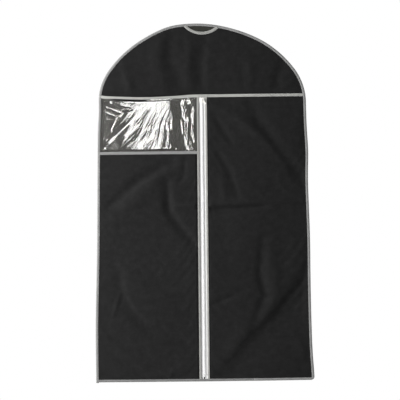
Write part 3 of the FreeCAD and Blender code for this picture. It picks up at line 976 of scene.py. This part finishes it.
def back_cloth():
    rows, count = 108, 63
    left_half = half_outline(RIM)
    turn = nearest(left_half, -0.262, -0.110)
    left = resample(left_half[:turn + 1], rows)
    over = np.concatenate([left_half[turn:], flip_x(left_half[turn:-1])[::-1]])
    bottom = resample(np.array([left[0], flip_x(left[0])]), count)
    grid = coons(bottom, flip_x(left), resample(over, count), left)
    x, z = grid[..., 0], grid[..., 1]
    width, height, top_share = 0.58, 0.97, 0.45
    up = np.arange(rows)[:, None] / (rows - 1)
    rise = np.minimum(up * height, (1 - up) * top_share)
    inset = np.minimum(from_ends(count)[None, :] / (count - 1) * width, rise)
    fullness = ease(0.0, 0.046, inset)
    middle_y = 0.5 * MM + fullness * (8.6 + 1.1 * np.sin(x / 0.052 + 1.2 * np.sin(z / 0.110))) * MM
    folds = (1.4 * fold_field(x, z, BACK_FOLDS) + crinkle(x, z, 41)) * ease(0.0, 0.030, inset)
    drape = settle(place(x, z, middle_y), edge_pins(*x.shape), ease(0.004, 0.040, inset), 2.6 * MM, 1)
    middle = place(x, z, middle_y - folds) + drape
    rings = sheet_rings(middle, CLOTH)
    slots = np.repeat([1, 0], [count - 1, count + 1])
    # The inside faces take the lighter copy, as painted light.
    obj = shell("back_panel_cloth", rings, sheet_uv(x, z), [FABRIC, FABRIC_INSIDE_PAINTED_LIGHT], slots)
    on_bag(obj, "black_fabric", "back_panel")


BACK_FOLDS = (
    (((-240, 300), (-120, 420), (-40, 640)), (18, 26), -2.0),
    (((230, 250), (150, 420), (120, 620)), (20, 26), -1.8),
    (((-290, 505), (0, 506), (290, 503)), (5, 12), -1.4),
    (((0, 60), (-6, 300), (4, 480)), (16, 16), -1.3),
    (((-200, 640), (-140, 800), (-180, 960)), (18, 24), -1.9),
    (((60, 600), (90, 760), (220, 930)), (16, 26), -2.0),
    (((-60, 700), (20, 830), (30, 960)), (14, 18), 1.6),
)


def yoke_cloth():
    left_half = half_outline(RIM)
    level = -(SEAM_BOTTOM - 3.2 * MM)
    start = np.argmin(np.abs(left_half[:, 1] - level) + 10 * (left_half[:, 0] > -0.2))
    side = left_half[start:]
    side[0, 1] = level
    radius = SCOOP_R - SCOOP_TAPE + 1.2 * MM
    cut = np.nonzero(np.hypot(side[:, 0], side[:, 1] - SCOOP_Z) > radius)[0][-1]
    side = side[:cut + 1]
    turn = nearest(side, -0.250, -0.094)
    left = resample(side[:turn + 1], 18)
    brow = resample(side[turn:], 36)
    edge = math.atan2(brow[-1, 1] - SCOOP_Z, brow[-1, 0])
    dip = resample(arc_path((0.0, SCOOP_Z), radius, edge, -math.pi - edge, 0.5 * MM)[0], 19)
    top = np.concatenate([brow, dip[1:-1], flip_x(brow)[::-1]])
    bottom = resample(np.array([left[0], flip_x(left[0])]), len(top))
    grid = coons(bottom, flip_x(left), top, left)
    x, z = grid[..., 0], grid[..., 1]
    rows, count = x.shape
    free = ease(0.0, 3.0, np.minimum(from_ends(rows)[:, None], from_ends(count)[None, :]))
    folded = 0.75 * FOLD_GAIN * fold_field(x, z, YOKE_FOLDS) + crinkle(x, z, 21)
    flat = -0.5 * MM - free * 0.6 * MM
    drape = settle(place(x, z, flat), edge_pins(rows, count), free, 1.6 * MM, -1)
    middle = place(x, z, flat - free * folded) + drape
    # The yoke takes the darker copy of the nonwoven, as painted shade.
    obj = shell("yoke_cloth", sheet_rings(middle, CLOTH), sheet_uv(x, z), [YOKE_FABRIC_PAINTED_SHADE])
    on_bag(obj, "black_fabric", "shoulder_yoke")


# ---------------------------------------------------------------- front panels and window film
BESIDE_ZIP = 16 * MM


def front_grid(side, top, bottom, step):
    """Pattern grid of a flap from the zip edge to the side seam, as x, z and row depths."""
    depths = depth_rows(top, bottom, step)
    outer = np.array([side_x(min(max(d, 0.226), HEIGHT), RIM) for d in depths])
    share = np.linspace(0.0, 1.0, int(math.ceil(0.264 / step)) + 1)
    inner = BINDING_IN + 0.7 * MM
    fine = np.broadcast_to(inner + np.linspace(0.0, BESIDE_ZIP, 11)[:-1], (len(depths), 10))
    coarse = inner + BESIDE_ZIP + (outer[:, None] - inner - BESIDE_ZIP) * share[None, :]
    x = side * np.concatenate([fine, coarse], axis=1)
    z = np.broadcast_to(-depths[:, None], x.shape)
    return x, z, depths


def front_panel(name, side, top, folds, node):
    x, z, depths = front_grid(side, top, HEIGHT - RIM, 5 * MM)
    near = np.minimum(np.abs(x) - BINDING_IN, side_x(0.6, 0.0) - np.abs(x) - 4 * MM)
    ends = np.minimum(-z - top, HEIGHT - RIM + z)
    free = ease(1 * MM, 17 * MM, np.minimum(near, ends))
    puff = 1.4 * MM * ease(0.0, 0.110, np.minimum(near, ends))
    hollow = 1.1 * MM * bell(np.abs(x), BINDING_OUT + 1.8 * MM, 1.9 * MM)
    folded = FOLD_GAIN * fold_field(x, z, folds) + crinkle(x, z, 31 + side)
    flat = -0.5 * MM - puff
    pins = edge_pins(*x.shape)
    pins[:, :8] = True
    drape = settle(place(x, z, flat), pins, free, 2.0 * MM, -1)
    middle = place(x, z, flat - free * folded + hollow * ease(0.0, 6 * MM, ends)) + drape
    # The right panel takes the darker copy of the nonwoven, as painted shade.
    fabric = RIGHT_FABRIC_PAINTED_SHADE if side > 0 else FABRIC
    pieces = flap_shell(
        name, sheet_rings(middle, CLOTH), sheet_uv(x, z), depths, side, "black_fabric", node, [fabric]
    )


FILM_FOLDS = (
    (((-250, 227), (-228, 225), (-203, 228), (-180, 229), (-171, 224)), (3.2, 3.2), 0.30),
    (((-277, 231), (-257, 237), (-238, 244), (-227, 249)), (3.2, 3.2), 0.30),
    (((-227, 249), (-214, 247), (-201, 244), (-193, 239), (-172, 239)), (3.2, 3.2), 0.30),
    (((-274, 246), (-261, 252), (-246, 257), (-233, 257), (-227, 250)), (3.2, 3.2), 0.30),
    (((-242, 263), (-249, 280), (-256, 295), (-254, 300)), (3.0, 3.0), 0.20),
    (((-186, 257), (-200, 267), (-211, 279), (-226, 296), (-239, 307), (-251, 319), (-262, 330), (-273, 332)),
     (4.6, 4.6), 0.36),
    (((-288, 317), (-272, 325), (-261, 320), (-250, 312)), (3.2, 3.2), 0.30),
    (((-214, 318), (-226, 333)), (4.0, 4.0), 0.22),
    (((-262, 214), (-258, 217)), (4.0, 4.0), 0.22),
    (((-276, 346), (-274, 352)), (4.0, 4.0), 0.24),
    (((-148, 232), (-160, 250), (-176, 270), (-196, 292)), (3.4, 3.4), -0.26),
    (((-126, 250), (-138, 272), (-156, 300), (-172, 322)), (3.6, 3.6), -0.34),
    (((-106, 262), (-116, 284), (-128, 306)), (3.2, 3.2), -0.24),
    (((-52, 224), (-44, 240), (-50, 256)), (4.0, 4.0), 0.45),
    (((-56, 268), (-52, 312)), (3.4, 3.4), 0.40),
    (((-38, 268), (-42, 300), (-43, 340)), (4.8, 4.8), 0.50),
    (((-22, 246), (-26, 300), (-20, 330)), (3.0, 3.0), 0.34),
)
GATHER_X, GATHER_Z = -0.055, -0.115
PLEAT_LENGTH = 0.190
FLAT_LEFT, FLAT_RIGHT = -0.2007, -0.0858


def film_height(x, z):
    """Listed creases, pleats that fan out from a gather under the seam, and crumples beside the zip."""
    folds = fold_field(x, z, FILM_FOLDS)
    slanted = x + 0.123 * (z + 0.210)
    cup = 0.145 * np.minimum(x - FLAT_LEFT, 0.0) ** 2
    cup = cup + 0.150 * ((np.maximum(slanted, -0.058) - FLAT_RIGHT) ** 2 - (FLAT_RIGHT + 0.058) ** 2)
    cup = cup - 0.95 * MM * ease(-0.090, -0.056, slanted)
    reach = np.hypot(x - GATHER_X, z - GATHER_Z)
    turn = np.arctan2(x - GATHER_X, GATHER_Z - z) + 0.02 * np.sin(reach / 0.021)
    wide = 1.0 - np.abs(2.0 * value_noise(turn / 0.080 + 20.0, reach / 0.080, 7) - 1.0)
    narrow = 1.0 - np.abs(2.0 * value_noise(turn / 0.036 + 20.0, reach / 0.050, 8) - 1.0)
    inside = ease(-0.262, -0.190, x + 0.35 * (z + 0.28)) * ease(-0.078, -0.094, slanted)
    lower = 0.45 + 0.85 * ease(-0.245, -0.315, z)
    pleats = reach / PLEAT_LENGTH * (0.46 * wide + 0.32 * narrow * ease(-0.215, -0.300, z + 0.2 * (x + 0.14)))
    pucker = ease(-0.300, -0.336, z) * bell(x, -0.104, 0.030)
    small = 0.22 * streaks(x, z, 1.05, 0.0080, 2.4, 9)
    beside = ease(-0.064, -0.052, slanted)
    upright = 0.30 * streaks(x, z, -0.10, 0.0125, 3.2, 11) + 0.14 * streaks(x, z, 0.62, 0.0085, 2.2, 13)
    faint = 0.06 * streaks(x, z, -0.55, 0.021, 2.6, 17) + 0.025 * streaks(x, z, 0.9, 0.011, 2.0, 19)
    total = inside * (lower * pleats + pucker * small) + beside * upright + faint
    return folds + cup + total * MM


def window_film():
    x, z, depths = front_grid(-1, SEAM_BOTTOM - 4 * MM, WINDOW_END + 4 * MM, 1.6 * MM)
    near = np.minimum(-x - BINDING_OUT, side_x(0.3, 0.0) + x - 8 * MM)
    ends = np.minimum(-z - SEAM_BOTTOM, WINDOW_END + z)
    free = ease(-1 * MM, 7 * MM, np.minimum(near, ends))
    lift = -0.5 * MM - free * (0.4 * MM + film_height(x, z))
    rings = sheet_rings(place(x, z, lift), 0.25 * MM)
    uv = sheet_uv(x, z)
    pieces = flap_shell("window_film_sheet", rings, uv, depths, -1, "clear_film", "window_film", [FILM])


# ---------------------------------------------------------------- bindings
def over_zip(x, z, lift):
    """The seam and hem tapes ride up over the ends of the zip bindings, on the front only."""
    return -0.55 * MM * (1.0 - ease(15 * MM, 22 * MM, np.abs(x))) * ease(0.2 * MM, -0.5 * MM, lift)


def edge_bindings():
    section = fold_section(EDGE_TAPE, -LEG_FRONT, LEG_BACK, TAPE_CLOTH)
    hem_start = hem_corner(CORNER_R)[0]
    hem_run = line_path((hem_start, -HEIGHT), (TAPE_JOIN, -HEIGHT), 4 * MM)
    path = chain(outline_runs(0.0, overhang=1.4 * MM) + [hem_run])
    around = shell("perimeter_tape", *sweep(path, section), [EDGE_CLOTH])
    lap, flatter = 0.3 * MM, 0.88
    hem_section = section * np.array([1.0, flatter]) + np.array([lap, 0.0])
    hem_path = level_path(TAPE_JOIN + 9 * MM, -HEM_HALF + EDGE_TAPE * 0.5, HEIGHT, 4 * MM)
    hem = shell("hem_tape", *sweep(hem_path, hem_section, extra=over_zip), [HEM_CLOTH])
    inward = EDGE_TAPE - STITCH_IN
    rows = []
    for lift in (THREAD_FRONT, -THREAD_FRONT):
        rows.append(row_on_path(path, inward, lift, start=3 * MM))
        rows.append(
            row_on_path(hem_path, inward, lift * 0.9, extra=over_zip, start=11 * MM, end=5 * MM)
        )
    on_bag(around, "grey_binding", "perimeter_binding")
    on_bag(hem, "grey_binding", "hem_binding")
    on_bag(stitch_object("edge_stitches", rows, EDGE_THREAD), "grey_binding")


def seam_width(x):
    """The seam tape is rolled narrower over the window."""
    return 1.0 - 0.20 * ease(-0.278, -0.240, x) * ease(-0.050, -0.080, x)


def seam_roll(x, z, lift):
    """Over the window the seam tape rolls forwards along its top, so that its face looks down."""
    rolled = ease(-0.286, -0.250, x) * ease(-0.070, -0.110, x)
    above = np.clip(6.2 * MM + SEAM_TOP + z, 0.0, None)
    return over_zip(x, z, lift) - 0.34 * above * rolled


def lip_width(x):
    """The yoke's raw edge shows as a dark lip below the rolled tape, deepest towards the left; the dark lip
    is also a painted shadow in the gap under the tape.
    """
    return 0.92 + 0.60 * ease(-0.256, -0.236, x) * ease(-0.130, -0.180, x)


SEAM_REACH = 0.2885
SEAM_WIDTH = SEAM_BOTTOM - SEAM_TOP
FILM_LEFT, FILM_RIGHT, BESIDE_FILM = -0.256, -0.066, -0.062
ROW_ENDS = SEAM_REACH - 9 * MM


def neck_tape():
    """The neck's binding, and the rows of stitches on its two faces."""
    end_depth, end_radius = 0.0085, SCOOP_R - 0.004
    reach = math.acos((SCOOP_Z + end_depth) / end_radius)
    low = -math.pi / 2
    path = chain([arc_path((0.0, SCOOP_Z), SCOOP_R - SCOOP_TAPE, low - reach, low + reach, 1.5 * MM)])
    section = fold_section(SCOOP_TAPE, -LEG_FRONT, SEAM_BACK, THIN_TAPE)
    tape = shell("neck_tape", *sweep(path, section), [NECK_CLOTH])
    inward = SCOOP_TAPE - STITCH_IN
    return tape, [row_on_path(path, inward, lift) for lift in (THREAD_FRONT, THREAD_BACK)]


def neck_and_yoke_bindings():
    neck, rows = neck_tape()
    on_bag(neck, "light_binding", "neck_binding")
    path = level_path(-SEAM_REACH, SEAM_REACH, SEAM_TOP)
    section = flat_section(0.0, SEAM_WIDTH, -LEG_FRONT, TAPE_CLOTH, 0.4 * MM)
    front = sweep(path, section, extra=seam_roll, width_at=seam_width)
    yoke = join_shells("yoke_seam_tape", [front, sweep(path, back_section(SEAM_WIDTH))], [SEAM_CLOTH])
    on_bag(yoke, "light_binding", "yoke_seam_binding")
    over_film = level_path(FILM_LEFT, FILM_RIGHT, SEAM_TOP)
    low, high = 3 * MM, SEAM_WIDTH - 0.2 * MM
    lip_section = flat_section(low, high, -LEG_FRONT - 0.25 * MM, 0.35 * MM, 0.1 * MM)
    # A strip of the darker yoke cloth below the tape: the yoke's raw edge, and a painted shadow line under
    # the tape.
    lip = shell("yoke_lip", *sweep(over_film, lip_section, width_at=lip_width), [YOKE_FABRIC_PAINTED_SHADE])
    on_bag(lip, "black_fabric")
    over_window = level_path(-ROW_ENDS, FILM_RIGHT, SEAM_TOP)
    beside = level_path(BESIDE_FILM, ROW_ENDS, SEAM_TOP)
    lift = LEG_FRONT - 0.06 * MM
    for run, inward in ((over_window, 1.4), (over_window, 5.0), (beside, 1.6), (beside, 6.2)):
        rows.append(row_on_path(run, inward * MM, lift, extra=seam_roll))
    on_bag(stitch_object("yoke_stitches", rows, SEAM_THREAD), "light_binding")


def window_binding():
    path = level_path(-side_x(WINDOW_END, 4 * MM), -BINDING_OUT + 1.5 * MM, WINDOW_END)
    width = WINDOW_TAPE_END - WINDOW_END
    front = sweep(path, flat_section(0.0, width, -LEG_FRONT, TAPE_CLOTH))
    tape = join_shells("window_hem_tape", [front, sweep(path, back_section(width))], [EDGE_CLOTH])
    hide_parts("window_hem_binding")
    rows = [
        row_on_path(path, inward, THREAD_FRONT, start=6 * MM)
        for inward in (1.6 * MM, width - 1.6 * MM)
    ]
    seam = stitch_object("window_stitches", rows, EDGE_THREAD)
    for obj in (tape, seam):
        flap_blend(obj, -1, "top")


def zip_binding(side, word):
    depths = depth_rows(SEAM_BOTTOM - 2.6 * MM, FLAP_END + 4 * MM, 5 * MM)
    points = np.stack([np.full(len(depths), side * BINDING_IN), -depths], axis=-1)
    heading = np.repeat([[0.0, -1.0]], len(depths), axis=0)
    run = depths - depths[0]
    width = BINDING_OUT - BINDING_IN
    section = fold_section(width, -LEG_FRONT, SEAM_BACK, THIN_TAPE)
    rings, uv = sweep((points, heading, run), section, flip=side > 0)
    # The left zip binding takes the darker neck cloth and the right one the lighter seam cloth: the same tape
    # in two tones, painted shade on the left.
    cloth = NECK_CLOTH if side < 0 else SEAM_CLOTH
    flap_shell(
        f"zip_binding_tape_{word}", rings, uv, depths, side, "light_binding", f"zip_binding_{word}", [cloth]
    )
    gap = 1.6 * MM
    for zone, first, last in zone_rows(depths):
        cut = slice(first, last + 1)
        part = (points[cut], heading[cut], run[cut] - run[first])
        rows = [
            row_on_path(part, inward, THREAD_FRONT, flip=side > 0, start=gap, end=gap)
            for inward in (STITCH_IN, width - STITCH_IN)
        ]
        seam = stitch_object(f"zip_stitches_{word}_{zone}", rows, SEAM_THREAD)
        flap_blend(seam, side, zone)


# ---------------------------------------------------------------- zip
def upright_loop(loop_x, loop_y, depths, around):
    """The rings of one level section carried down the zip, and their pattern map."""
    shape = (len(depths), len(loop_x))
    rings = place(np.broadcast_to(loop_x, shape), np.broadcast_to(-depths[:, None], shape), loop_y)
    return rings, pattern_map(depths, around)


def zip_tape(side, word):
    depths = depth_rows(SEAM_BOTTOM - 2 * MM, ZIP_END + 6 * MM, 5 * MM)
    x = ZIP_IN + np.linspace(0.0, 1.0, 15) * (ZIP_OUT - ZIP_IN)
    cord = 0.16 * MM * bell(x, ZIP_IN + 0.5 * MM, 0.5 * MM)
    front = ZIP_FRONT + 0.1 * MM - cord
    back = np.full(len(x), ZIP_BACK)
    edge = 0.14 * MM
    front[[0, -1]] += edge
    back[[0, -1]] -= edge
    loop_x = side * np.append(x, x[::-1])
    rings, uv = upright_loop(loop_x, np.append(front, back[::-1]), depths, np.abs(loop_x))
    flap_shell(
        f"zip_tape_cloth_{word}", rings, uv, depths, side, "white_zip_tape", f"zip_tape_{word}", [ZIP_CLOTH]
    )


COIL_PITCH = 1.33 * MM
COIL_POINTS = 12


COIL_X, COIL_Y = 1.28 * MM, -0.62 * MM
COIL_HALF_WIDTH = 1.42 * MM
WIRE_R = 0.37 * MM
CORD_X, CORD_HALF_WIDTH, CORD_HALF_DEPTH = 1.4 * MM, 0.95 * MM, 0.46 * MM


def zip_coil(side, word):
    """A flattened helix of nylon wire, sewn along the tape, whose heads mesh with the other side's."""
    end = ZIP_END - 1.5 * MM
    turns = int((end - COIL_TOP) / COIL_PITCH)
    angle = np.arange(turns * COIL_POINTS + 1) * (2 * math.pi / COIL_POINTS)
    offset = COIL_PITCH / 2 if side > 0 else 0.0
    depth = np.minimum(COIL_TOP + COIL_PITCH * angle / (2 * math.pi) + offset, end)
    reach = np.cos(angle)
    x = side * (COIL_X - COIL_HALF_WIDTH * np.sign(reach) * np.abs(reach) ** 0.8)
    centre = np.stack([x, COIL_Y - COIL_Y * np.sin(angle), -depth], axis=-1)
    ahead = unit(np.gradient(centre, axis=0))
    out = centre - np.stack([np.full_like(x, side * COIL_X), np.full_like(x, COIL_Y), -depth], axis=-1)
    out = unit(out - (out * ahead).sum(-1, keepdims=True) * ahead)
    across = np.cross(ahead, out)
    around = np.arange(6) * (math.pi / 3)
    rings = centre[:, None] + WIRE_R * (
        np.cos(around)[None, :, None] * out[:, None] + np.sin(around)[None, :, None] * across[:, None]
    )
    uv = pattern_map(depth, around * WIRE_R)
    coil = (side, "white_zip_coil", f"zip_coil_{word}")
    flap_shell(f"zip_coil_wire_{word}", rings, uv, depth, *coil, [NYLON])
    rows = depth_rows(COIL_TOP, end, 6 * MM)
    around = np.arange(8) * (math.pi / 4)
    loop_x = side * CORD_X + CORD_HALF_WIDTH * np.cos(around)
    loop_y = COIL_Y + CORD_HALF_DEPTH * np.sin(around)
    cord, cord_uv = upright_loop(loop_x, loop_y, rows, around * 0.5 * MM)
    flap_shell(f"zip_cord_{word}", cord, cord_uv, rows, *coil, [ZIP_THREAD])


def top_stop(side, word):
    """A crimped clip: a strip bent round the tape's inner edge."""
    low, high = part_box(f"top_stop_{word}")
    inner, outer = sorted((abs(low.x), abs(high.x)))
    middle, half = (low.y + high.y) / 2, (high.y - low.y) / 2
    wall, bend_x = 0.42 * MM, half * 0.9
    turn = np.linspace(math.pi / 2, 3 * math.pi / 2, 9)
    bend = inner + bend_x
    lip = outer - 0.1 * MM
    outer_x = np.concatenate([[outer], bend + bend_x * np.cos(turn), [outer]])
    outer_y = np.concatenate([[middle + half * 0.92], middle + half * np.sin(turn), [middle - half * 0.92]])
    inner_x = np.concatenate([[lip], bend + (bend_x - wall) * np.cos(turn), [lip]])
    inner_y = np.concatenate([
        [ZIP_BACK + 0.02 * MM], middle + (half - wall) * np.sin(turn), [middle - half + wall]
    ])
    loop_x = side * np.append(outer_x, inner_x[::-1])
    loop_y = np.append(outer_y, inner_y[::-1])
    levels = np.array([0.0, 0.12, 0.3, 0.7, 0.88, 1.0])
    shrink = np.array([0.90, 0.97, 1.0, 1.0, 0.97, 0.90])
    z = high.z + (low.z - high.z) * levels
    rings = np.stack(np.broadcast_arrays(
        loop_x[None, :], middle + (loop_y[None, :] - middle) * shrink[:, None], z[:, None]
    ), axis=-1)
    obj = shell(f"top_stop_clip_{word}", rings, pattern_map(z, loop_y), [STOP_PAINT])
    flap_blend(obj, side, "top")
    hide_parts(f"top_stop_{word}")


# ---------------------------------------------------------------- the carried-over CAD pieces
def dress_node(node, material):
    obj = next(o for o in bpy.data.objects if o.get("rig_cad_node") == node)
    obj.data.materials.clear()
    obj.data.materials.append(material)


# ---------------------------------------------------------------- studio
FLOOR_R, FLOOR_Z = 1.38, -1.75
BAG_MIDDLE = (0.0, 0.0, -0.45)
WINDOW_LIGHT = (-0.194, -0.150)
CAMERA_DISTANCE, FRAME_HEIGHT, SENSOR = 4.0, 1.1148, 36.0


def studio_world():
    """Soft light, stronger from above. The camera sees plain white behind the bag."""
    world = bpy.data.worlds.new("studio")
    bpy.context.scene.world = world
    world.use_nodes = True
    look = Look(world)
    look.tree.nodes.clear()
    height = look.add("SeparateXYZ", {"Vector": look.add("TexCoord", {})["Generated"]})["Z"]
    strength = look.add("MapRange", {"To Min": 0.10, "To Max": 0.68, "Value": height})["Result"]
    soft = look.add("Background", {"Strength": strength, "Color": grey(1.0)})["Background"]
    white = look.add("Background", {"Strength": 1.0, "Color": grey(1.0)})["Background"]
    seen = look.add("LightPath", {})["Is Camera Ray"]
    mixed = look.add("MixShader", {"Fac": seen, 1: soft, 2: white})["Shader"]
    look.add("OutputWorld", {"Surface": mixed})


def softbox(name, place_at, look_at, width, height, power):
    light = bpy.data.lights.new(name, "AREA")
    light.shape = "RECTANGLE"
    light.size, light.size_y = width, height
    light.energy = power
    obj = bpy.data.objects.new(name, light)
    obj.location = place_at
    obj.rotation_mode = "QUATERNION"
    obj.rotation_quaternion = (Vector(look_at) - Vector(place_at)).to_track_quat("-Z", "Y")
    obj.visible_camera = False
    bpy.context.scene.collection.objects.link(obj)


def studio():
    scene = bpy.context.scene
    scene.view_settings.view_transform = "Standard"
    scene.view_settings.look = "None"
    studio_world()
    softbox("key_softbox", (-2.00, -0.95, 0.02), BAG_MIDDLE, 0.9, 0.9, 108.0)
    softbox("back_softbox", (1.70, 1.50, 0.40), BAG_MIDDLE, 1.2, 1.2, 80.0)
    x, z = WINDOW_LIGHT
    softbox("window_softbox", (x, -1.5, z), (x, 0.0, z), 0.158, 0.50, 4.5)

    bpy.ops.mesh.primitive_circle_add(
        vertices=96, radius=FLOOR_R, fill_type="TRIFAN", location=(0.0, 0.0, FLOOR_Z)
    )
    floor = bpy.context.object
    floor.name = "studio_floor"
    floor.data.materials.append(FLOOR)

    lens = bpy.data.cameras.new("camera")
    lens.sensor_width = SENSOR
    lens.lens = SENSOR * CAMERA_DISTANCE / FRAME_HEIGHT
    eye = bpy.data.objects.new("camera", lens)
    eye.location = (-0.008, -CAMERA_DISTANCE, -0.494)
    eye.rotation_euler = (math.pi / 2, math.radians(0.6), 0.0)
    scene.collection.objects.link(eye)
    scene.camera = eye


# ---------------------------------------------------------------- make everything
studio()
back_cloth()
yoke_cloth()
front_panel("left_panel_cloth", -1, WINDOW_END + 1.2 * MM, LEFT_FOLDS, "left_front_panel")
front_panel("right_panel_cloth", 1, SEAM_BOTTOM - 4 * MM, RIGHT_FOLDS, "right_front_panel")
window_film()
edge_bindings()
neck_and_yoke_bindings()
window_binding()
for side_sign, side_word in ((-1, "left"), (1, "right")):
    zip_binding(side_sign, side_word)
    zip_tape(side_sign, side_word)
    zip_coil(side_sign, side_word)
    top_stop(side_sign, side_word)
for node_name in ("slider_body", "slider_bail", "pull_tab"):
    dress_node(node_name, IVORY)
dress_node("bottom_stop", STOP_PAINT)
